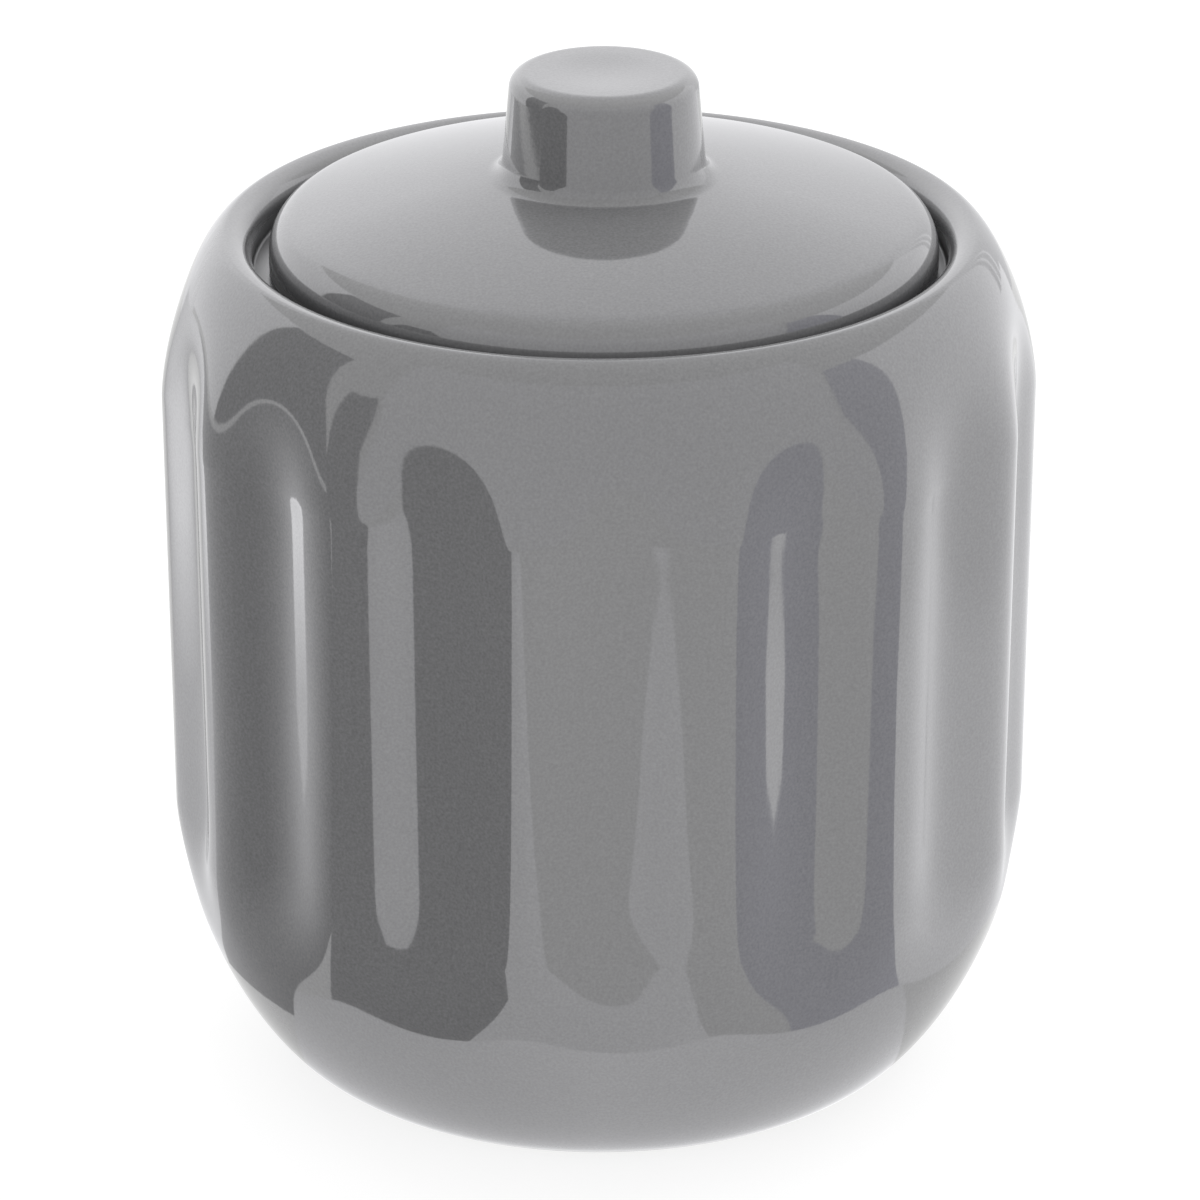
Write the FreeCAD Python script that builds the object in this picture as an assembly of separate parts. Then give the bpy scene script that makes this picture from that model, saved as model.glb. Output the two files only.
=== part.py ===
import FreeCAD, Part
import math
import os

# Lidded jar for cotton pads, in glazed ceramic: a fluted barrel and a loose lid with its knob.
# Millimetres, +Z up. The origin is the middle of the foot, on the table.
# A flute faces the front (-Y).

# Jar, outside
jar_height = 99.4           # table to the crest of the rim
ridge_radius = 50.0         # crest of a ridge, at the top of the straight side
side_taper = 0.4            # the straight side is this much narrower at its lower end
base_radius = 34.3          # where the rounded bottom meets the table
bottom_height = 30.0        # height of the rounded bottom
bottom_fullness = 1.56      # 2 rounds as an ellipse does, 1 is a straight chamfer
shoulder_height = 19.5      # height of the rounded shoulder
shoulder_inset = 7.6        # the shoulder draws in this far, up to the crest of the rim
shoulder_fullness = 1.55    # as for the bottom
rim_width = 3.0             # crest of the rim, from the shoulder to the mouth

# Flutes
flute_count = 14
flute_depth = 2.6           # ridge crest to flute floor
flute_start = 15.5          # height at which a flute begins
flute_end_drop = 1.2        # a flute ends this far below the rim
flute_run_out = 22.0        # length of each soft end, where the flute fades out

# Jar, inside
wall = 4.2                  # behind the floor of a flute
floor_height = 6.0          # inner floor above the table
floor_round = 16.0          # inner floor into the wall
rim_round = 2.9             # inner edge of the rim
ledge_drop = 4.4            # rim crest down to the ledge that carries the lid
ledge_width = 3.8
ledge_thickness = 4.5       # at its inner edge
ledge_slope_height = 10.5   # underside of the ledge, from its inner edge out to the wall
ledge_round = 1.2           # inner edges of the ledge
slope_round = 8.0           # underside of the ledge into the wall

# Foot
foot_width = 6.5            # bare ring that stands on the table
foot_recess = 1.5           # hollow inside the ring
foot_draft = 1.0            # the hollow is this much narrower at its roof

# Lid
lid_clearance = 1.5         # lid edge to mouth, all round
lid_shift_share = 0.3       # the lid lies off centre by this share of its clearance
lid_edge_height = 5.6       # ledge to the edge of the dome
lid_edge_round = 4.4
lid_under_round = 0.8
dome_rise = 6.1             # edge of the dome to its top
lid_wall = 6.0
collar_clearance = 2.0      # locating collar to the ledge's inner edge
collar_depth = 5.5          # below the ledge
collar_width = 3.8
collar_round = 1.2
under_dome_round = 3.0      # collar into the underside of the dome

# Knob
knob_height = 11.8          # above the dome, at the side of the knob
knob_base_radius = 11.6
knob_taper = 1.05           # the knob is this much narrower at its top
knob_edge_round = 1.9
knob_root_round = 2.0       # glaze fillet where the knob grows out of the dome
dish_margin = 2.6           # top of the knob, from its edge to the shallow dish in it
dish_depth = 0.25
knob_wall = 4.8             # the knob is hollow from below
hollow_round = 2.5          # roof of the hollow
hollow_mouth_round = 1.5    # hollow into the underside of the dome

# Derived places
side_bottom_radius = ridge_radius - side_taper
rim_radius = ridge_radius - shoulder_inset
mouth_radius = rim_radius - rim_width
ledge_z = jar_height - ledge_drop
throat_radius = mouth_radius - ledge_width
inner_radius = ridge_radius - flute_depth - wall
lid_radius = mouth_radius - lid_clearance
lid_shift = lid_clearance * lid_shift_share
collar_radius = throat_radius - collar_clearance
dome_edge_z = ledge_z + lid_edge_height
dome_top_z = dome_edge_z + dome_rise
dome_radius = (lid_radius ** 2 + dome_rise ** 2) / (2 * dome_rise)
dome_centre_z = dome_top_z - dome_radius
knob_top_radius = knob_base_radius - knob_taper
dish_radius = knob_top_radius - dish_margin

quarter_turn = math.pi / 2
sections_per_round = 8      # sections along the bottom and along the shoulder
sections_on_side = 6
points_per_flute = 8
margin = 2.0                # cutting bodies reach this far past what they cut
same_place = 0.01           # edges this close to a place lie on it


def eased(share):
    """Grow from 0 to 1, level at both ends."""
    share = min(max(share, 0.0), 1.0)
    return share ** 3 * (10 - 15 * share + 6 * share ** 2)


def depth_at(height):
    """Depth of the flutes at a height: full along the side, fading out at both ends."""
    above_start = (height - flute_start) / flute_run_out
    below_end = (jar_height - flute_end_drop - height) / flute_run_out
    return flute_depth * eased(above_start) * eased(below_end)


def rounding(share, fullness):
    """Point on a rounded corner: how far out and how far along, both from 0 to 1."""
    out = math.sin(share * quarter_turn) ** (2 / fullness)
    along = 1 - math.cos(share * quarter_turn) ** (2 / fullness)
    return out, along


def barrel_profile():
    """Ridge radius and height of each section, from the table up to the rim."""
    profile = []
    for step in range(sections_per_round + 1):
        out, along = rounding(step / sections_per_round, bottom_fullness)
        radius = base_radius + (side_bottom_radius - base_radius) * out
        profile.append((radius, bottom_height * along))
    side_height = jar_height - shoulder_height - bottom_height
    for step in range(1, sections_on_side):
        share = step / sections_on_side
        profile.append((side_bottom_radius + side_taper * share, bottom_height + side_height * share))
    for step in range(sections_per_round, -1, -1):
        out, along = rounding(step / sections_per_round, shoulder_fullness)
        radius = rim_radius + (ridge_radius - rim_radius) * out
        profile.append((radius, jar_height - shoulder_height * along))
    return profile


def fluted_section(radius, height):
    """Closed outline of the barrel at one height, with one curve for each flute."""
    depth = depth_at(height)
    pitch = 2 * math.pi / flute_count
    curves = []
    for flute in range(flute_count):
        first_ridge = (flute + 0.5) * pitch - quarter_turn
        last_ridge = first_ridge + pitch
        points = []
        for step in range(points_per_flute + 1):
            share = step / points_per_flute
            reach = radius - depth * (1 - math.cos(2 * math.pi * share)) / 2
            turn = first_ridge + pitch * share
            points.append(FreeCAD.Vector(reach * math.cos(turn), reach * math.sin(turn), height))
        curve = Part.BSplineCurve()
        curve.interpolate(
            Points=points,
            InitialTangent=FreeCAD.Vector(-math.sin(first_ridge), math.cos(first_ridge), 0),
            FinalTangent=FreeCAD.Vector(-math.sin(last_ridge), math.cos(last_ridge), 0),
        )
        curves.append(curve.toShape())
    return Part.Wire(curves)


def at(radius, height):
    """Point of a turned profile."""
    return FreeCAD.Vector(radius, 0, height)


def turned(edges):
    """Solid made by turning a closed profile about the Z axis."""
    face = Part.Face(Part.Wire(edges))
    return face.revolve(FreeCAD.Vector(0, 0, 0), FreeCAD.Vector(0, 0, 1), 360)


def path(points):
    """Straight edges from point to point."""
    return [Part.LineSegment(start, end).toShape() for start, end in zip(points, points[1:])]


def ring_edges(solid, radius, height):
    """Round edges of a solid at one radius and height."""
    found = []
    for edge in solid.Edges:
        if not edge.Degenerated and isinstance(edge.Curve, Part.Circle):
            same_radius = abs(edge.Curve.Radius - radius) < same_place
            same_height = abs(edge.Curve.Center.z - height) < same_place
            if same_radius and same_height:
                found.append(edge)
    return found


def make_cavity():
    """Inside of the jar: mouth, ledge, throat and the space for the pads."""
    throat_bottom_z = ledge_z - ledge_thickness
    slope_bottom_z = throat_bottom_z - ledge_slope_height
    rim_arc_middle = at(
        mouth_radius + rim_round * (1 - math.cos(math.pi / 4)),
        jar_height - rim_round * (1 - math.sin(math.pi / 4)),
    )
    above = path([
        at(0, floor_height),
        at(0, jar_height + margin),
        at(mouth_radius + rim_round, jar_height + margin),
        at(mouth_radius + rim_round, jar_height),
    ])
    rim_arc = Part.Arc(
        at(mouth_radius + rim_round, jar_height), rim_arc_middle, at(mouth_radius, jar_height - rim_round)
    ).toShape()
    below = path([
        at(mouth_radius, jar_height - rim_round),
        at(mouth_radius, ledge_z),
        at(throat_radius, ledge_z),
        at(throat_radius, throat_bottom_z),
        at(inner_radius, slope_bottom_z),
        at(inner_radius, floor_height),
        at(0, floor_height),
    ])
    cavity = turned(above + [rim_arc] + below)
    cavity = cavity.makeFillet(floor_round, ring_edges(cavity, inner_radius, floor_height))
    cavity = cavity.makeFillet(slope_round, ring_edges(cavity, inner_radius, slope_bottom_z))
    throat_edges = ring_edges(cavity, throat_radius, ledge_z)
    throat_edges += ring_edges(cavity, throat_radius, throat_bottom_z)
    return cavity.makeFillet(ledge_round, throat_edges)


def make_jar():
    """Fluted barrel, hollowed out, on a foot ring."""
    sections = [fluted_section(radius, height) for radius, height in barrel_profile()]
    barrel = Part.makeLoft(sections, True, False)
    hollow_radius = base_radius - foot_width
    recess = Part.makeCone(hollow_radius, hollow_radius - foot_draft, foot_recess)
    return barrel.cut(make_cavity()).cut(recess)


def dome_z(radius, wall_below=0.0):
    """Height of the dome, or of its underside, at a radius."""
    return dome_centre_z + math.sqrt((dome_radius - wall_below) ** 2 - radius ** 2)


def dome_arc(first_radius, last_radius, wall_below=0.0):
    """Edge along the dome, or along its underside, between two radii."""
    middle_radius = (first_radius + last_radius) / 2
    return Part.Arc(
        at(first_radius, dome_z(first_radius, wall_below)),
        at(middle_radius, dome_z(middle_radius, wall_below)),
        at(last_radius, dome_z(last_radius, wall_below)),
    ).toShape()


def make_lid():
    """Domed lid with its locating collar and its knob, cast in one and hollow from below."""
    knob_root_z = dome_z(knob_base_radius)
    knob_top_z = knob_root_z + knob_height
    collar_bottom_z = ledge_z - collar_depth
    collar_inner_radius = collar_radius - collar_width
    hollow_radius = knob_base_radius - knob_wall
    hollow_roof_z = knob_top_z - knob_wall
    dish_floor = at(0, knob_top_z - dish_depth)
    dish_half_way = at(dish_radius / 2, knob_top_z - dish_depth * (1 - (1 / 2) ** 2))
    profile = [Part.Arc(dish_floor, dish_half_way, at(dish_radius, knob_top_z)).toShape()]
    profile += path([
        at(dish_radius, knob_top_z),
        at(knob_top_radius, knob_top_z),
        at(knob_base_radius, knob_root_z),
    ])
    profile.append(dome_arc(knob_base_radius, lid_radius))
    profile += path([
        at(lid_radius, dome_edge_z),
        at(lid_radius, ledge_z),
        at(collar_radius, ledge_z),
        at(collar_radius, collar_bottom_z),
        at(collar_inner_radius, collar_bottom_z),
        at(collar_inner_radius, dome_z(collar_inner_radius, lid_wall)),
    ])
    profile.append(dome_arc(collar_inner_radius, hollow_radius, lid_wall))
    profile += path([
        at(hollow_radius, dome_z(hollow_radius, lid_wall)),
        at(hollow_radius, hollow_roof_z),
        at(0, hollow_roof_z),
        dish_floor,
    ])
    lid = turned(profile)
    rounds = [
        (knob_edge_round, knob_top_radius, knob_top_z),
        (knob_root_round, knob_base_radius, knob_root_z),
        (lid_edge_round, lid_radius, dome_edge_z),
        (lid_under_round, lid_radius, ledge_z),
        (collar_round, collar_radius, collar_bottom_z),
        (collar_round, collar_inner_radius, collar_bottom_z),
        (under_dome_round, collar_inner_radius, dome_z(collar_inner_radius, lid_wall)),
        (hollow_mouth_round, hollow_radius, dome_z(hollow_radius, lid_wall)),
        (hollow_round, hollow_radius, hollow_roof_z),
    ]
    for round_radius, edge_radius, edge_z in rounds:
        lid = lid.makeFillet(round_radius, ring_edges(lid, edge_radius, edge_z))
    lid.translate(FreeCAD.Vector(lid_shift, 0, 0))
    return lid


os.makedirs("parts", exist_ok=True)
pieces = {"jar": make_jar(), "lid": make_lid()}
for name, piece in pieces.items():
    piece.exportStep("parts/" + name + ".step")
    box = piece.optimalBoundingBox(False, False)
    print(name, "valid:", piece.isValid(), "solids:", len(piece.Solids), "volume:", round(piece.Volume))
    print("  size:", round(box.XLength, 2), round(box.YLength, 2), round(box.ZLength, 2))
    print("  from", round(box.ZMin, 2), "to", round(box.ZMax, 2), "above the table")
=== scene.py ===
# %% [markdown]
# A lidded jar for cotton pads
#
# The jar is two pieces of glazed ceramic: a fluted barrel, and a loose domed lid with a knob.
# Both were turned and cast, so nearly every line on them goes round one upright axis. That
# decides how they are modelled here: draw half of the outline once, spin it into a round
# body, then press the flutes into the barrel.
#
# The imported frame comes first. It holds the solids that the physics uses, in metres, and
# each piece made here rides on one of its bodies. The box round the solids is kept, and
# sizes such as the jar's height and the lid's place are read from it.

# %% Load the frame
import math

import bpy
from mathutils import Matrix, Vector


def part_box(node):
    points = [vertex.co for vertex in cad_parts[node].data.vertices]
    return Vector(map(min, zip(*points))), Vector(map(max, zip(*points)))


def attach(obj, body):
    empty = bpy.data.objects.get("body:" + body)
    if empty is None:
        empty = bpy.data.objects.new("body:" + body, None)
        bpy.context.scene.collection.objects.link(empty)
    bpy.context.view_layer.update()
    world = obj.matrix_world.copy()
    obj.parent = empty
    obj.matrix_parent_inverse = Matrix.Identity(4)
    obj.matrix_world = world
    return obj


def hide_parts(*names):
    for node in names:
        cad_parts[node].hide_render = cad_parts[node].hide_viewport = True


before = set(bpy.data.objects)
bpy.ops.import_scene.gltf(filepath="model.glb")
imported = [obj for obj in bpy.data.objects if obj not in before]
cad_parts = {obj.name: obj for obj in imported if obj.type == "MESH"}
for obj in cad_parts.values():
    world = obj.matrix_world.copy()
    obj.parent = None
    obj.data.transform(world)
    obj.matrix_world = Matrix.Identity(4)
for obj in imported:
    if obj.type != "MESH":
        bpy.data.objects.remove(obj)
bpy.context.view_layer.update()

# %% [markdown]
# Drawing half an outline
#
# A potter would cut the outline of a pot from card, as a template. The template here is a
# chain of corners, each with its distance from the axis, its height and its rounding. A
# bevel modifier could round the corners after the spin, but it would meet hundreds of faces
# at once; rounding the outline first gives a clean ring of faces at each step of the arc.
# Next to each arc stands one more point, so that the smooth shading of the arc doesn't bleed
# into the straight stretch beside it.

# %% Round the corners of an outline
arc_step = math.radians(9)


def rounded_path(corners):
    """Points through corners of (radius, height, rounding), with an arc at each rounded one."""
    points = []
    for number, (radius, height, rounding) in enumerate(corners):
        corner = Vector((radius, height))
        if rounding == 0:
            points.append(corner)
            continue
        to_last = (Vector(corners[number - 1][:2]) - corner).normalized()
        to_next = (Vector(corners[number + 1][:2]) - corner).normalized()
        half_angle = to_last.angle(to_next) / 2
        reach = rounding / math.tan(half_angle)
        centre = corner + (to_last + to_next).normalized() * rounding / math.sin(half_angle)
        first = corner + to_last * reach - centre
        last = corner + to_next * reach - centre
        steps = math.ceil(first.angle(last) / arc_step)
        support = rounding * arc_step
        points.append(corner + to_last * (reach + support))
        for step in range(steps + 1):
            points.append(centre + first.slerp(last, step / steps).normalized() * rounding)
        points.append(corner + to_next * (reach + support))
    return points


# %% [markdown]
# Spinning the outline
#
# The outline is drawn as by hand: a plane is merged to a single vertex, the vertex is moved
# to the start, and every further point is extruded from the last one. Spin then carries the
# outline once round the Z axis. Where the outline touches the axis, and where the last copy
# meets the first, vertices lie on top of each other. Merging them closes the poles and the
# seam, and the normals are recalculated after that, so that all faces point outwards.

# %% Make a round body from an outline
start_size = 0.01
merge_distance = 0.000002
smooth_angle = math.radians(50)


def spin_outline(name, outline, columns):
    """New object: the outline's (radius, height) points, spun once round the Z axis."""
    bpy.ops.object.select_all(action="DESELECT")
    bpy.ops.mesh.primitive_plane_add(size=start_size, location=(0, 0, 0))
    piece = bpy.context.object
    piece.name = name
    piece.data.name = name
    bpy.ops.object.mode_set(mode="EDIT")
    bpy.ops.mesh.merge(type="CENTER")
    bpy.ops.transform.translate(value=(outline[0].x, 0, outline[0].y))
    for last, point in zip(outline, outline[1:]):
        step = (point.x - last.x, 0, point.y - last.y)
        bpy.ops.mesh.extrude_vertices_move(TRANSFORM_OT_translate={"value": step})
    bpy.ops.mesh.select_all(action="SELECT")
    bpy.ops.mesh.spin(steps=columns, angle=2 * math.pi, center=(0, 0, 0), axis=(0, 0, 1))
    bpy.ops.mesh.select_all(action="SELECT")
    bpy.ops.mesh.remove_doubles(threshold=merge_distance)
    bpy.ops.mesh.normals_make_consistent(inside=False)
    bpy.ops.object.mode_set(mode="OBJECT")
    bpy.ops.object.shade_smooth_by_angle(angle=smooth_angle)
    print(name, "has", len(piece.data.vertices), "vertices in", columns, "columns")
    return piece


# %% [markdown]
# The barrel's outside
#
# Seen from the side, the barrel has a nearly straight side between a rounded bottom and a
# rounded shoulder. Neither is a quarter circle: they start flat at the foot and at the rim,
# and meet the side with a soft corner. A superellipse has just this shape. Its fullness is 2
# for an ellipse and 1 for a straight chamfer.

# %% Draw the barrel's outside
jar_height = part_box("jar")[1].z
ridge_radius = 0.0500
side_taper = 0.0004
base_radius = 0.0343
bottom_height = 0.0300
bottom_fullness = 1.56
rim_radius = 0.0424
shoulder_height = 0.0195
shoulder_fullness = 1.55
rings_per_round = 44
rings_on_side = 36


def superellipse(share, fullness):
    """How far out and how far along a superellipse has come, both from 0 to 1."""
    out = math.sin(share * math.pi / 2) ** (2 / fullness)
    along = 1 - math.cos(share * math.pi / 2) ** (2 / fullness)
    return out, along


side_bottom_radius = ridge_radius - side_taper
side_low = Vector((side_bottom_radius, bottom_height))
side_high = Vector((ridge_radius, jar_height - shoulder_height))
barrel = []
for ring in range(rings_per_round + 1):
    out, along = superellipse(ring / rings_per_round, bottom_fullness)
    radius = base_radius + (side_bottom_radius - base_radius) * out
    barrel.append(Vector((radius, bottom_height * along)))
for ring in range(1, rings_on_side):
    barrel.append(side_low.lerp(side_high, ring / rings_on_side))
for ring in range(rings_per_round, -1, -1):
    out, along = superellipse(ring / rings_per_round, shoulder_fullness)
    radius = rim_radius + (ridge_radius - rim_radius) * out
    barrel.append(Vector((radius, jar_height - shoulder_height * along)))
print("barrel outline:", len(barrel), "points up to", round(jar_height * 1000, 1), "mm")

# %% [markdown]
# The jar's inside and its foot
#
# Lift the lid and the mouth shows: a rounded rim, a ledge that carries the lid, a throat,
# and below it the space for the pads, whose floor runs into the wall in a wide round.
# Underneath, the jar stands on a ring, with a shallow hollow inside it. Both are drawn as
# corners with roundings. Fired glaze fills every inner corner a little, so even the sharp
# ones get a small rounding. The rim's own rounding takes up nearly its whole crest, so the
# barrel's last point leads straight into that arc.

# %% Set the sizes of the inside and the foot
wall = 0.0042
flute_depth = 0.0026
floor_height = 0.0060
floor_round = 0.0160
rim_width = 0.0030
rim_round = 0.0029
ledge_drop = 0.0044
ledge_width = 0.0038
ledge_thickness = 0.0045
ledge_slope_height = 0.0105
ledge_round = 0.0012
slope_round = 0.0080
foot_width = 0.0065
foot_recess = 0.0015
foot_draft = 0.0010
glaze_fill = 0.0004

mouth_radius = rim_radius - rim_width
ledge_height = jar_height - ledge_drop
throat_radius = mouth_radius - ledge_width
throat_bottom = ledge_height - ledge_thickness
slope_bottom = throat_bottom - ledge_slope_height
inner_radius = ridge_radius - flute_depth - wall
recess_radius = base_radius - foot_width
radii = {"mouth": mouth_radius, "throat": throat_radius, "inside": inner_radius}
print("radii in mm:", {name: round(radius * 1000, 2) for name, radius in radii.items()})

# %% Draw the inside and the foot, and spin the jar
flute_count = 14
columns_per_flute = 20

foot = rounded_path([
    (0, foot_recess, 0),
    (recess_radius - foot_draft, foot_recess, glaze_fill),
    (recess_radius, 0, glaze_fill),
    (base_radius, 0, 0),
])
inside = rounded_path([
    (rim_radius, jar_height, 0),
    (mouth_radius, jar_height, rim_round),
    (mouth_radius, ledge_height, glaze_fill),
    (throat_radius, ledge_height, ledge_round),
    (throat_radius, throat_bottom, ledge_round),
    (inner_radius, slope_bottom, slope_round),
    (inner_radius, floor_height, floor_round),
    (0, floor_height, 0),
])
jar_columns = flute_count * columns_per_flute
jar = spin_outline("fluted_jar", foot[:-1] + barrel + inside[2:], jar_columns)

# %% [markdown]
# Pressing the flutes
#
# Fourteen shallow flutes run up the barrel and fade out softly before the bottom and before
# the rim. Cut across, they are one even wave. On the bench this would be done with a
# weight-painted displacement: paint how deep each place goes, and let a Displace modifier
# push the surface in. The weights here are worked out instead of painted: the wave round the
# barrel, times a fade up the barrel. The last factor is how much the surface faces sideways,
# which keeps the depth the same where the shoulder leans.

# %% Press the flutes into the barrel
flute_start = 0.0155
flute_end_drop = 0.0012
flute_run_out = 0.0220
flute_end = jar_height - flute_end_drop


def eased(share):
    """Grow from 0 to 1, level at both ends."""
    share = min(max(share, 0), 1)
    return share ** 3 * (10 - 15 * share + 6 * share ** 2)


flutes = jar.vertex_groups.new(name="flutes")
for vertex in jar.data.vertices:
    radius = math.hypot(vertex.co.x, vertex.co.y)
    fade = eased((vertex.co.z - flute_start) / flute_run_out)
    fade *= eased((flute_end - vertex.co.z) / flute_run_out)
    if fade == 0:
        continue
    sideways = (vertex.normal.x * vertex.co.x + vertex.normal.y * vertex.co.y) / radius
    turn = math.atan2(vertex.co.x, -vertex.co.y)
    wave = (1 + math.cos(flute_count * turn)) / 2
    if sideways > 0:
        flutes.add([vertex.index], wave * fade * sideways, "REPLACE")

bpy.ops.object.select_all(action="DESELECT")
bpy.context.view_layer.objects.active = jar
jar.select_set(True)
press = jar.modifiers.new("press_flutes", "DISPLACE")
press.vertex_group = flutes.name
press.direction = "NORMAL"
press.mid_level = 0
press.strength = -flute_depth
bpy.ops.object.modifier_apply(modifier=press.name)
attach(jar, "jar")
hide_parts("jar")
print("jar measures", [round(side * 1000, 2) for side in jar.dimensions], "mm")

# %% [markdown]
# The lid
#
# The lid is a low dome with a knob grown out of its middle, hollow from below. A collar
# underneath keeps it from sliding out of the mouth. The dome is part of a large sphere, so
# its points come from that sphere; the rest is corners again. The lid lies in the mouth a
# little off the middle, as a loose lid does, and that shift is read from the frame.

# %% Set the lid's sizes
lid_low, lid_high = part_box("lid")
lid_radius = (lid_high.y - lid_low.y) / 2
lid_shift = (lid_low.x + lid_high.x) / 2
knob_top = lid_high.z
lid_edge_height = 0.0056
lid_edge_round = 0.0044
lid_under_round = 0.0008
dome_rise = 0.0061
lid_wall = 0.0060
collar_clearance = 0.0020
collar_width = 0.0038
collar_round = 0.0012
under_dome_round = 0.0030
knob_radius = 0.0116
knob_taper = 0.00105
knob_edge_round = 0.0019
knob_root_round = 0.0020
knob_wall = 0.0048
dish_margin = 0.0026
dish_depth = 0.00025
hollow_round = 0.0025
hollow_mouth_round = 0.0015

dome_edge = ledge_height + lid_edge_height
dome_top = dome_edge + dome_rise
dome_radius = (lid_radius ** 2 + dome_rise ** 2) / (2 * dome_rise)
collar_radius = throat_radius - collar_clearance
collar_inner_radius = collar_radius - collar_width
knob_top_radius = knob_radius - knob_taper
dish_radius = knob_top_radius - dish_margin
hollow_radius = knob_radius - knob_wall
hollow_top = knob_top - knob_wall
radii = {"lid": lid_radius, "collar": collar_radius, "knob": knob_radius}
print("radii in mm:", {name: round(radius * 1000, 2) for name, radius in radii.items()})

# %% Draw the lid's outline
dome_margin = 0.0046
dome_rings = 28
dish_rings = 10


def dome_height(radius, wall_below=0):
    """Height of the dome, or of its underside, at a distance from the axis."""
    return dome_top - dome_radius + math.sqrt((dome_radius - wall_below) ** 2 - radius ** 2)


def dome_corners(first, last, wall_below=0):
    """Points along the dome between two radii, as corners that need no rounding."""
    radii = [first + (last - first) * ring / dome_rings for ring in range(dome_rings + 1)]
    return [(radius, dome_height(radius, wall_below), 0) for radius in radii]


def dish_corners():
    """Points across the shallow dish in the top of the knob, from the middle out."""
    corners = []
    for ring in range(dish_rings + 1):
        share = ring / dish_rings
        corners.append((dish_radius * share, knob_top - dish_depth * (1 - share ** 2) ** 2, 0))
    return corners


lid_outline = rounded_path(
    dish_corners()
    + [
        (knob_top_radius, knob_top, knob_edge_round),
        (knob_radius, dome_height(knob_radius), knob_root_round),
    ]
    + dome_corners(knob_radius + dome_margin, lid_radius - dome_margin)
    + [
        (lid_radius, dome_edge, lid_edge_round),
        (lid_radius, ledge_height, lid_under_round),
        (collar_radius, ledge_height, glaze_fill),
        (collar_radius, lid_low.z, collar_round),
        (collar_inner_radius, lid_low.z, collar_round),
        (collar_inner_radius, dome_height(collar_inner_radius, lid_wall), under_dome_round),
    ]
    + dome_corners(collar_inner_radius - dome_margin, hollow_radius + dome_margin, lid_wall)
    + [
        (hollow_radius, dome_height(hollow_radius, lid_wall), hollow_mouth_round),
        (hollow_radius, hollow_top, hollow_round),
        (0, hollow_top, 0),
    ]
)
print("lid outline:", len(lid_outline), "points")

# %% Spin the lid and move it to its place
lid_columns = 240

lid = spin_outline("domed_lid", lid_outline, lid_columns)
bpy.ops.object.mode_set(mode="EDIT")
bpy.ops.mesh.select_all(action="SELECT")
bpy.ops.transform.translate(value=(lid_shift, 0, 0))
bpy.ops.object.mode_set(mode="OBJECT")
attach(lid, "lid")
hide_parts("lid")
print("lid measures", [round(side * 1000, 2) for side in lid.dimensions], "mm")

# %% [markdown]
# Node groups for the glaze
#
# Both pieces were dipped in the same grey glaze, so its effects are built once, as node
# groups, and placed in each material. Every group reads Object coordinates, which are metres
# here: a noise scale of 1000 gives lumps about a millimetre wide.

# %% Helpers that make groups and nodes
socket_kinds = {1: "Float", 3: "Vector", 4: "Color"}


def new_group(name, inputs, outputs):
    """New shader node group with float, colour or vector sockets, given as name: start value."""
    group = bpy.data.node_groups.new(name, "ShaderNodeTree")
    for socket_name, value in inputs.items():
        kind = socket_kinds[len(value) if isinstance(value, tuple) else 1]
        socket = group.interface.new_socket(socket_name, in_out="INPUT", socket_type="NodeSocket" + kind)
        socket.default_value = value
    for socket_name, kind in outputs.items():
        group.interface.new_socket(socket_name, in_out="OUTPUT", socket_type="NodeSocket" + kind)
    return group, group.nodes.new("NodeGroupInput"), group.nodes.new("NodeGroupOutput")


def add_node(tree, kind, **settings):
    """New node in a tree; settings that name a property set it, the rest set an input's value."""
    node = tree.nodes.new("ShaderNode" + kind)
    for setting, value in settings.items():
        if hasattr(node, setting):
            setattr(node, setting, value)
        else:
            node.inputs[setting.replace("_", " ")].default_value = value
    return node


# %% [markdown]
# The colour of the glaze
#
# Close up the grey isn't flat. It is made of fine grains, a third of a millimetre across,
# that are about a tenth lighter or darker, and over a few centimetres the tone drifts a
# little where the glaze ran thicker. Two noises do this, one fine and one broad. A noise
# keeps to about a quarter on either side of its middle, so it is stretched four times; then
# it multiplies the colour by a number close to 1.

# %% Build the group for the grain
fine_scale = 3200.0
broad_scale = 26.0
noise_middle = 0.5
noise_stretch = 4.0

grain, grain_in, grain_out = new_group(
    "glaze_grain",
    {"Colour": (0.5, 0.5, 0.5, 1), "Grain": 0.05, "Drift": 0.03},
    {"Colour": "Color"},
)
place = add_node(grain, "TexCoord")
fine = add_node(grain, "TexNoise", Scale=fine_scale, Detail=2.0)
broad = add_node(grain, "TexNoise", Scale=broad_scale, Detail=3.0)
grain.links.new(place.outputs["Object"], fine.inputs["Vector"])
grain.links.new(place.outputs["Object"], broad.inputs["Vector"])
tones = []
for noise, amount in ((fine, "Grain"), (broad, "Drift")):
    centred = add_node(grain, "Math", operation="SUBTRACT")
    centred.inputs[1].default_value = noise_middle
    scaled = add_node(grain, "Math", operation="MULTIPLY")
    tone = add_node(grain, "Math", operation="MULTIPLY_ADD")
    tone.inputs[1].default_value = noise_stretch
    tone.inputs[2].default_value = 1.0
    grain.links.new(noise.outputs["Fac"], centred.inputs[0])
    grain.links.new(centred.outputs[0], scaled.inputs[0])
    grain.links.new(grain_in.outputs[amount], scaled.inputs[1])
    grain.links.new(scaled.outputs[0], tone.inputs[0])
    tones.append(tone)
both = add_node(grain, "Math", operation="MULTIPLY")
grain.links.new(tones[0].outputs[0], both.inputs[0])
grain.links.new(tones[1].outputs[0], both.inputs[1])
tinted = add_node(grain, "VectorMath", operation="SCALE")
grain.links.new(grain_in.outputs["Colour"], tinted.inputs[0])
grain.links.new(both.outputs[0], tinted.inputs["Scale"])
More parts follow.
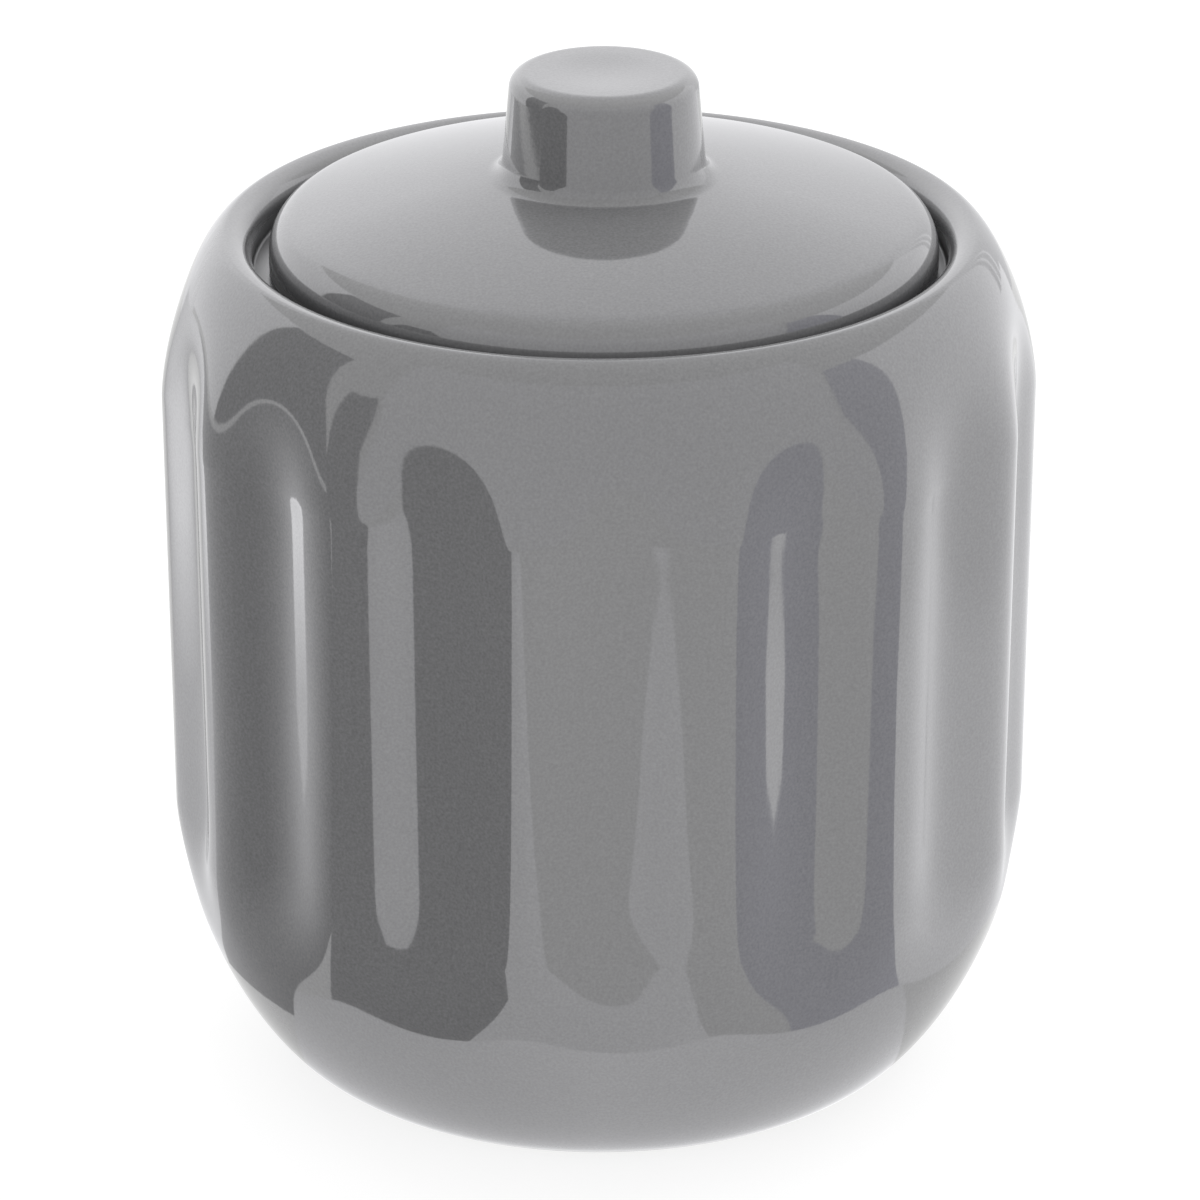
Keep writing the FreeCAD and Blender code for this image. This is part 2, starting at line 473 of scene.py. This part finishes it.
grain.links.new(tinted.outputs[0], grain_out.inputs["Colour"])
print("group", grain.name, "has", len(grain.nodes), "nodes")

# %% [markdown]
# The skin of the glaze
#
# A dipped glaze is never as true as a mirror. It lies in long waves, some hundredths of a
# millimetre high, and has a faint orange peel of dimples, less than a millimetre wide and
# about a thousandth high, so the edges of reflections waver. That is too little to model, so
# both go into a bump. Its height is in metres, like everything else. The gloss also varies a
# little with the same waves.

# %% Build the group for the skin
wave_scale = 42.0
dimple_scale = 1100.0

skin, skin_in, skin_out = new_group(
    "glaze_skin",
    {"Roughness": 0.05, "Spread": 0.02, "Waves": 0.00004, "Peel": 0.0000022},
    {"Roughness": "Float", "Height": "Float"},
)
place = add_node(skin, "TexCoord")
long_waves = add_node(skin, "TexNoise", Scale=wave_scale, Detail=1.0)
dimples = add_node(skin, "TexNoise", Scale=dimple_scale, Detail=1.0)
wave_height = add_node(skin, "Math", operation="MULTIPLY")
height = add_node(skin, "Math", operation="MULTIPLY_ADD")
gloss = add_node(skin, "Math", operation="MULTIPLY_ADD")
skin.links.new(place.outputs["Object"], long_waves.inputs["Vector"])
skin.links.new(place.outputs["Object"], dimples.inputs["Vector"])
skin.links.new(long_waves.outputs["Fac"], wave_height.inputs[0])
skin.links.new(skin_in.outputs["Waves"], wave_height.inputs[1])
skin.links.new(dimples.outputs["Fac"], height.inputs[0])
skin.links.new(skin_in.outputs["Peel"], height.inputs[1])
skin.links.new(wave_height.outputs[0], height.inputs[2])
skin.links.new(long_waves.outputs["Fac"], gloss.inputs[0])
skin.links.new(skin_in.outputs["Spread"], gloss.inputs[1])
skin.links.new(skin_in.outputs["Roughness"], gloss.inputs[2])
skin.links.new(gloss.outputs[0], skin_out.inputs["Roughness"])
skin.links.new(height.outputs[0], skin_out.inputs["Height"])
print("group", skin.name, "has", len(skin.nodes), "nodes")

# %% [markdown]
# Where the glaze thins, where shade is painted into the lid's gap, and where it was wiped off
#
# Molten glaze draws back from sharp edges, so the rim, the lid's edge and the edge of the
# knob show a paler line where the clay shimmers through. Where the lid sits, on the jar and
# on the lid, the glaze is made duller, and its colour darker as painted shade for the deep gap
# round the lid. All these places are rings, so one mask serves them: it needs a ring's radius
# and height, and fades with the distance from it.
# Glaze that touches the kiln shelf would stick, so the foot of each piece was wiped and
# shows bare clay below a slightly wavering line.

# %% Build the group that masks a ring
ring_mask, ring_in, ring_out = new_group(
    "ring_mask",
    {"Axis": (0, 0, 0), "Radius": 0.04, "Height": 0.1, "Width": 0.002},
    {"Mask": "Float"},
)
place = add_node(ring_mask, "TexCoord")
from_axis = add_node(ring_mask, "VectorMath", operation="SUBTRACT")
flat = add_node(ring_mask, "VectorMath", operation="MULTIPLY")
flat.inputs[1].default_value = (1, 1, 0)
away = add_node(ring_mask, "VectorMath", operation="LENGTH")
off_ring = add_node(ring_mask, "Math", operation="SUBTRACT")
parts = add_node(ring_mask, "SeparateXYZ")
above_ring = add_node(ring_mask, "Math", operation="SUBTRACT")
gap = add_node(ring_mask, "CombineXYZ")
distance = add_node(ring_mask, "VectorMath", operation="LENGTH")
fade = add_node(ring_mask, "MapRange", interpolation_type="SMOOTHSTEP")
fade.inputs["To Min"].default_value = 1.0
fade.inputs["To Max"].default_value = 0.0
ring_mask.links.new(place.outputs["Object"], from_axis.inputs[0])
ring_mask.links.new(ring_in.outputs["Axis"], from_axis.inputs[1])
ring_mask.links.new(from_axis.outputs[0], flat.inputs[0])
ring_mask.links.new(flat.outputs[0], away.inputs[0])
ring_mask.links.new(away.outputs["Value"], off_ring.inputs[0])
ring_mask.links.new(ring_in.outputs["Radius"], off_ring.inputs[1])
ring_mask.links.new(place.outputs["Object"], parts.inputs[0])
ring_mask.links.new(parts.outputs["Z"], above_ring.inputs[0])
ring_mask.links.new(ring_in.outputs["Height"], above_ring.inputs[1])
ring_mask.links.new(off_ring.outputs[0], gap.inputs["X"])
ring_mask.links.new(above_ring.outputs[0], gap.inputs["Y"])
ring_mask.links.new(gap.outputs[0], distance.inputs[0])
ring_mask.links.new(distance.outputs["Value"], fade.inputs["Value"])
ring_mask.links.new(ring_in.outputs["Width"], fade.inputs["From Max"])
ring_mask.links.new(fade.outputs["Result"], ring_out.inputs["Mask"])
print("group", ring_mask.name, "has", len(ring_mask.nodes), "nodes")

# %% Build the group for the wiped foot
waver_scale = 160.0
wipe_softness = 0.00012

wiped, wiped_in, wiped_out = new_group(
    "wiped_foot",
    {"Top": 0.0004, "Waver": 0.0003},
    {"Mask": "Float"},
)
place = add_node(wiped, "TexCoord")
parts = add_node(wiped, "SeparateXYZ")
waver = add_node(wiped, "TexNoise", Scale=waver_scale, Detail=2.0)
line = add_node(wiped, "Math", operation="MULTIPLY_ADD")
above = add_node(wiped, "Math", operation="SUBTRACT")
soft = add_node(wiped, "MapRange", interpolation_type="SMOOTHSTEP")
soft.inputs["From Max"].default_value = wipe_softness
soft.inputs["To Min"].default_value = 1.0
soft.inputs["To Max"].default_value = 0.0
wiped.links.new(place.outputs["Object"], parts.inputs[0])
wiped.links.new(place.outputs["Object"], waver.inputs["Vector"])
wiped.links.new(waver.outputs["Fac"], line.inputs[0])
wiped.links.new(wiped_in.outputs["Waver"], line.inputs[1])
wiped.links.new(wiped_in.outputs["Top"], line.inputs[2])
wiped.links.new(parts.outputs["Z"], above.inputs[0])
wiped.links.new(line.outputs[0], above.inputs[1])
wiped.links.new(above.outputs[0], soft.inputs["Value"])
wiped.links.new(soft.outputs["Result"], wiped_out.inputs["Mask"])
print("group", wiped.name, "has", len(wiped.nodes), "nodes")

# %% [markdown]
# The glaze itself
#
# One function builds the material, because jar and lid differ only in where their edges,
# painted shade and feet are. The colour goes from grain to pale edge, to painted shade in the
# gap round the lid, to bare clay, and the roughness follows it. A Mix node has a set of
# sockets for each kind of value, all with the same names, so its colour sockets are found by
# number. The gloss is the shader's own: a glaze is glass, and one rich in metal oxides bends
# light more than window glass does, so its index of refraction is set above the usual 1.5.

# %% Helpers that place a group and mix two values
first_colour = 6
second_colour = 7
mixed_colour = 2


def place_group(tree, group, **values):
    """Group node in a material, with its own values."""
    node = tree.nodes.new("ShaderNodeGroup")
    node.node_tree = group
    for socket_name, value in values.items():
        node.inputs[socket_name].default_value = value
    return node


def mix_colours(tree, share, first, second):
    """Output that goes from a linked colour to a fixed one as the share goes from 0 to 1."""
    mix = add_node(tree, "Mix", data_type="RGBA")
    mix.inputs[second_colour].default_value = second
    tree.links.new(share, mix.inputs["Factor"])
    tree.links.new(first, mix.inputs[first_colour])
    return mix.outputs[mixed_colour]


def mix_numbers(tree, share, first, second):
    """Output that goes from a linked number to a fixed one as the share goes from 0 to 1."""
    mix = add_node(tree, "Mix", data_type="FLOAT")
    mix.inputs["B"].default_value = second
    tree.links.new(share, mix.inputs["Factor"])
    tree.links.new(first, mix.inputs["A"])
    return mix.outputs["Result"]


# %% Build the two glazes
glaze_grey = (0.150, 0.150, 0.154, 1)
glaze_index = 1.95
grain_amount = 0.16
drift_amount = 0.03
thin_grey = (0.23, 0.23, 0.232, 1)
edge_width = 0.0016
edge_strength = 0.6
rim_line = 0.0012
# The seat of the lid, on the jar and on the lid, is painted darker: painted shade for the gap round the
# lid.
gap_shade_grey = (0.05, 0.05, 0.052, 1)
seat_roughness = 0.4
gap_shade_width = 0.004
bare_clay = (0.60, 0.57, 0.52, 1)
clay_roughness = 0.8
jar_wiped = 0.0002
lid_wiped = 0.0003


def make_glaze(name, axis, edges, gap_shade, wiped_top):
    """Glaze with pale edges and painted shade in the lid's gap, all (radius, height) rings, and clay
    below wiped_top.
    """
    material = bpy.data.materials.new(name)
    material.use_nodes = True
    tree = material.node_tree
    grained = place_group(tree, grain, Colour=glaze_grey, Grain=grain_amount, Drift=drift_amount)
    skinned = place_group(tree, skin)
    bare = place_group(tree, wiped, Top=wiped_top).outputs["Mask"]
    # Mask of the painted shade in the gap round the lid; the seat's roughness follows it too.
    shaded_gap = place_group(
        tree, ring_mask, Axis=axis, Radius=gap_shade[0], Height=gap_shade[1], Width=gap_shade_width
    ).outputs["Mask"]
    colour = grained.outputs["Colour"]
    for radius, height in edges:
        edge = place_group(
            tree, ring_mask, Axis=axis, Radius=radius, Height=height, Width=edge_width
        ).outputs["Mask"]
        weak = add_node(tree, "Math", operation="MULTIPLY")
        weak.inputs[1].default_value = edge_strength
        tree.links.new(edge, weak.inputs[0])
        colour = mix_colours(tree, weak.outputs[0], colour, thin_grey)
    # Painted shade: the seat in the gap round the lid gets a darker colour.
    colour = mix_colours(tree, shaded_gap, colour, gap_shade_grey)
    colour = mix_colours(tree, bare, colour, bare_clay)
    roughness = mix_numbers(tree, shaded_gap, skinned.outputs["Roughness"], seat_roughness)
    roughness = mix_numbers(tree, bare, roughness, clay_roughness)
    bump = add_node(tree, "Bump", Strength=1.0, Distance=1.0)
    tree.links.new(skinned.outputs["Height"], bump.inputs["Height"])
    shader = tree.nodes["Principled BSDF"]
    shader.inputs["IOR"].default_value = glaze_index
    tree.links.new(colour, shader.inputs["Base Color"])
    tree.links.new(roughness, shader.inputs["Roughness"])
    tree.links.new(bump.outputs["Normal"], shader.inputs["Normal"])
    return material


# Each glaze gets painted shade at the ring where the lid sits.
jar_glaze = make_glaze(
    "jar_glaze",
    axis=(0, 0, 0),
    edges=[(mouth_radius + rim_line, jar_height)],
    gap_shade=(mouth_radius, ledge_height),
    wiped_top=jar_wiped,
)
lid_glaze = make_glaze(
    "lid_glaze",
    axis=(lid_shift, 0, 0),
    edges=[(lid_radius, dome_edge), (knob_top_radius, knob_top)],
    gap_shade=(lid_radius, ledge_height),
    wiped_top=lid_low.z + lid_wiped,
)
jar.data.materials.append(jar_glaze)
lid.data.materials.append(lid_glaze)
print("glazes:", jar_glaze.name, lid_glaze.name)

# %% [markdown]
# The floor and the room
#
# The jar stands on a plain white floor that fades into a white room. To keep the light on
# the jar at a plain level, the room is dimmer for the light that it casts than for what the
# camera and the reflections see of it: Light Path tells the two apart. The floor does the
# same. To the camera and to reflections it mostly glows by itself, with a weak diffuse part
# that keeps the jar's shadow; to all other light it is plain white paper.

# %% Make the floor
floor_size = 8
floor_glow = 0.84
floor_sheen = 0.22
floor_bounce = 0.80

bpy.ops.object.select_all(action="DESELECT")
bpy.ops.mesh.primitive_plane_add(size=floor_size, location=(0, 0, 0))
floor = bpy.context.object
floor.name = "floor"


def seen_directly(tree):
    """Output that is 1 for camera, glossy and transmission rays and 0 for the rest."""
    path = add_node(tree, "LightPath")
    either = add_node(tree, "Math", operation="MAXIMUM")
    any_of = add_node(tree, "Math", operation="MAXIMUM")
    tree.links.new(path.outputs["Is Camera Ray"], either.inputs[0])
    tree.links.new(path.outputs["Is Glossy Ray"], either.inputs[1])
    tree.links.new(either.outputs[0], any_of.inputs[0])
    tree.links.new(path.outputs["Is Transmission Ray"], any_of.inputs[1])
    return any_of.outputs[0]


paper = bpy.data.materials.new("white_floor")
paper.use_nodes = True
tree = paper.node_tree
tree.nodes.remove(tree.nodes["Principled BSDF"])
bounced = add_node(tree, "BsdfDiffuse", Color=(floor_bounce, floor_bounce, floor_bounce, 1))
matt = add_node(tree, "BsdfDiffuse", Color=(floor_sheen, floor_sheen, floor_sheen, 1))
glow = add_node(tree, "Emission", Color=(1, 1, 1, 1), Strength=floor_glow)
looked_at = add_node(tree, "AddShader")
either = add_node(tree, "MixShader")
tree.links.new(matt.outputs[0], looked_at.inputs[0])
tree.links.new(glow.outputs[0], looked_at.inputs[1])
tree.links.new(seen_directly(tree), either.inputs["Fac"])
tree.links.new(bounced.outputs[0], either.inputs[1])
tree.links.new(looked_at.outputs[0], either.inputs[2])
tree.links.new(either.outputs[0], tree.nodes["Material Output"].inputs["Surface"])
floor.data.materials.append(paper)
print("floor is", floor_size, "m wide and glows", floor_glow)

# %% Make the room
room_cast = 0.85

room = bpy.data.worlds.new("white_room")
bpy.context.scene.world = room
room.use_nodes = True
tree = room.node_tree
level = add_node(tree, "MapRange")
level.inputs["To Min"].default_value = room_cast
level.inputs["To Max"].default_value = 1.0
tree.links.new(seen_directly(tree), level.inputs["Value"])
tree.nodes["Background"].inputs["Color"].default_value = (1, 1, 1, 1)
tree.links.new(level.outputs["Result"], tree.nodes["Background"].inputs["Strength"])
print("room is white, and casts", room_cast)

# %% [markdown]
# Soft light
#
# Two large softboxes give the plain light and the soft shadow: one above and behind, one to
# the right. They are kept out of the reflections, which the cards of the next step draw.
# Places are given by the angle round the jar from the camera's side, which is a few degrees
# off the flute in front, and by the angle up from the floor.

# %% Helpers to place things round the jar
camera_turn = math.radians(-2.9)


def direction(turn, rise):
    """Unit vector away from the jar; turn grows to the picture's right, both in degrees."""
    round_jar = camera_turn + math.radians(turn)
    up = math.radians(rise)
    sideways = math.sin(round_jar) * math.cos(up)
    forwards = -math.cos(round_jar) * math.cos(up)
    return Vector((sideways, forwards, math.sin(up)))


def looking_at(target, turn, rise, away):
    """Place and rotation of something that looks at a target from a distance."""
    back = direction(turn, rise)
    return target + back * away, (-back).to_track_quat("-Z", "Y").to_euler()


# %% Light the jar
jar_middle = Vector((0, 0, jar_height / 2))
softbox_away = 1.0
softbox_radiance = 1.6


def add_softbox(name, turn, rise, width, height):
    """Soft lamp of an even brightness, where 1 is as bright as white paper."""
    place, rotation = looking_at(jar_middle, turn, rise, softbox_away)
    bpy.ops.object.light_add(type="AREA", location=place, rotation=rotation)
    lamp = bpy.context.object
    lamp.name = name
    lamp.data.shape = "RECTANGLE"
    lamp.data.size = width
    lamp.data.size_y = height
    lamp.data.energy = softbox_radiance * math.pi * width * height
    lamp.visible_camera = False
    lamp.visible_glossy = False


add_softbox("softbox_top", turn=180, rise=62, width=1.6, height=1.0)
add_softbox("softbox_right", turn=118, rise=35, width=0.6, height=0.7)

# %% [markdown]
# Cards for the reflections
#
# A glossy glaze shows its surroundings, so a photographer shapes it with them. Dark cards to
# the left and a grey one to the right draw the long stripes that make the flutes read, and
# bright ones lift the ridges, the lid and the foot. Only reflections see the cards: they
# cast no light and no shadow, and are in no picture themselves.
#
# All cards follow one path, out along the floor to a set distance and then up a standing
# cylinder, and each covers a stretch of it. A card is cut like a paper pattern, at stations.
# A station gives the distance along the path, the angles round the jar of the card's two
# sides, and how bright each side is, where 1 is as bright as white paper. On the floor no two
# cards may overlap, because then neither would lie clearly on top.

# %% A helper that makes a card
card_columns = 24
card_bend = 0.40
card_lift = 0.0005
grid_half = 0.5


def add_card(name, stations, tint):
    """Card bent round the jar, with stations of (distance, two turns in degrees, two levels)."""
    rows = len(stations) - 1
    bpy.ops.object.select_all(action="DESELECT")
    bpy.ops.mesh.primitive_grid_add(
        x_subdivisions=card_columns, y_subdivisions=rows, size=2 * grid_half, location=(0, 0, 0)
    )
    card = bpy.context.object
    card.name = name
    levels = card.data.attributes.new("level", "FLOAT", "POINT")
    for vertex in card.data.vertices:
        along, turns, sides = stations[round((vertex.co.y + grid_half) * rows)]
        share = vertex.co.x + grid_half
        turn = turns[0] + (turns[1] - turns[0]) * share
        levels.data[vertex.index].value = sides[0] + (sides[1] - sides[0]) * share
        out = direction(turn, 0) * min(along, card_bend)
        vertex.co = out + Vector((0, 0, card_lift + max(along - card_bend, 0)))
    card.visible_camera = False
    card.visible_diffuse = False
    card.visible_shadow = False
    shade = bpy.data.materials.new(name)
    shade.use_nodes = True
    tree = shade.node_tree
    tree.nodes.remove(tree.nodes["Principled BSDF"])
    level = add_node(tree, "Attribute", attribute_name="level")
    even = add_node(tree, "Emission", Color=tint)
    tree.links.new(level.outputs["Fac"], even.inputs["Strength"])
    tree.links.new(even.outputs[0], tree.nodes["Material Output"].inputs["Surface"])
    card.data.materials.append(shade)
    print(name, "has", len(stations), "stations")


# %% Set up the cards on the left
neutral = (0.98, 0.98, 1.0, 1)
dark = (0.2, 0.2)
lit = (1.6, 1.6)

add_card("card_left", [
    (0.060, (-56, -25), dark),
    (0.075, (-62, -21), dark),
    (0.10, (-66, -28), dark),
    (0.25, (-66, -28), dark),
    (0.30, (-70, -33), dark),
    (0.45, (-78, -43), dark),
    (0.50, (-75, -50), dark),
    (0.62, (-68, -58), dark),
], neutral)
add_card("card_far_left", [
    (0.43, (-105, -77), dark),
    (0.74, (-103, -76), dark),
], neutral)
add_card("card_left_floor", [
    (0.05, (-98, -66), (0.6, 0.3)),
    (0.09, (-100, -66), (0.9, 0.2)),
    (0.14, (-106, -66), (1.1, 0.15)),
    (0.20, (-112, -66), (1.0, 0.15)),
    (0.30, (-121, -70), (0.8, 0.2)),
    (0.42, (-136, -76), (0.8, 0.2)),
], neutral)
add_card("reflector_left_floor", [
    (0.05, (-125, -98), (1.0, 1.2)),
    (0.09, (-125, -100), (1.0, 1.3)),
    (0.14, (-128, -106), (0.9, 1.5)),
    (0.20, (-132, -112), (0.8, 2.8)),
    (0.30, (-140, -121), (0.9, 2.2)),
    (0.42, (-150, -136), (1.0, 1.6)),
], neutral)
add_card("reflector_left", [
    (0.43, (-160, -106), lit),
    (0.75, (-160, -103), lit),
], neutral)

# %% Set up the cards on the right
cool = (0.97, 0.97, 1.13, 1)
grey = (0.68, 0.68)

add_card("card_right", [
    (0.06, (37, 65), grey),
    (0.10, (39.5, 66), grey),
    (0.14, (40.5, 68), grey),
    (0.17, (41.5, 70), grey),
    (0.20, (42.5, 74), grey),
    (0.30, (50, 80), grey),
    (0.45, (55, 87), grey),
    (0.55, (60, 83), grey),
    (0.72, (66, 78), grey),
], cool)
add_card("reflector_right", [
    (0.06, (65, 150), (1.4, 0.7)),
    (0.08, (65.5, 150), (1.8, 0.9)),
    (0.10, (66, 150), (1.8, 1.1)),
    (0.14, (68, 150), (1.8, 1.3)),
    (0.17, (70, 150), (1.8, 1.3)),
    (0.20, (74, 150), (1.5, 1.3)),
    (0.30, (80, 150), (1.5, 1.5)),
    (0.45, (87, 150), lit),
    (0.55, (83, 150), lit),
    (0.72, (78, 150), lit),
], neutral)

# %% Set up the cards in front and behind
room_level = (1.15, 1.15)

add_card("reflector_front", [
    (0.060, (-25, 20), (1.35, 1.5)),
    (0.075, (-21, 14), (1.35, 1.5)),
    (0.10, (-28, 5), (1.35, 1.5)),
    (0.12, (-28, 1), (1.35, 1.5)),
    (0.14, (-28, -4), (1.3, 1.5)),
    (0.18, (-28, -10.5), (1.25, 1.5)),
    (0.22, (-28, -16), (1.25, 1.5)),
    (0.25, (-28, -20), (1.2, 1.45)),
], neutral)
add_card("reflector_foot_left", [
    (0.036, (-66, 0), (1.0, 1.6)),
    (0.06, (-66, 0), (1.1, 1.8)),
], neutral)
add_card("reflector_foot_right", [
    (0.036, (0, 66), (1.6, 1.2)),
    (0.06, (0, 66), (1.8, 1.3)),
], neutral)
add_card("reflector_room", [
    (0.30, (-33, 49), room_level),
    (0.45, (-43, 55), room_level),
    (0.62, (-57, 62), room_level),
    (0.90, (-60, 66), room_level),
], neutral)
add_card("reflector_back", [
    (0.40, (140, 220), (0.85, 1.45)),
    (0.54, (140, 220), (1.1, 1.65)),
    (0.66, (140, 220), (1.3, 1.8)),
    (0.85, (140, 220), (1.1, 1.4)),
    (1.20, (140, 220), (1.0, 1.1)),
    (2.00, (140, 220), (1.0, 1.0)),
], neutral)

# %% [markdown]
# The camera
#
# The picture was taken from a little above, with a long lens: the far rim is hardly smaller
# than the near one. The camera looks at a point on the axis, a little above the middle of the
# barrel, from three quarters of a metre away.

# %% Set the camera
camera_rise = 22.905
camera_away = 0.750
camera_target = Vector((0, 0, 0.05367))
sensor_width = 36
lens_length = 194.3

place, rotation = looking_at(camera_target, 0, camera_rise, camera_away)
bpy.ops.object.camera_add(location=place, rotation=rotation)
camera = bpy.context.object
camera.data.sensor_width = sensor_width
camera.data.lens = lens_length
bpy.context.scene.camera = camera
bpy.context.scene.view_settings.view_transform = "Standard"
print("camera at", [round(value, 4) for value in camera.location])
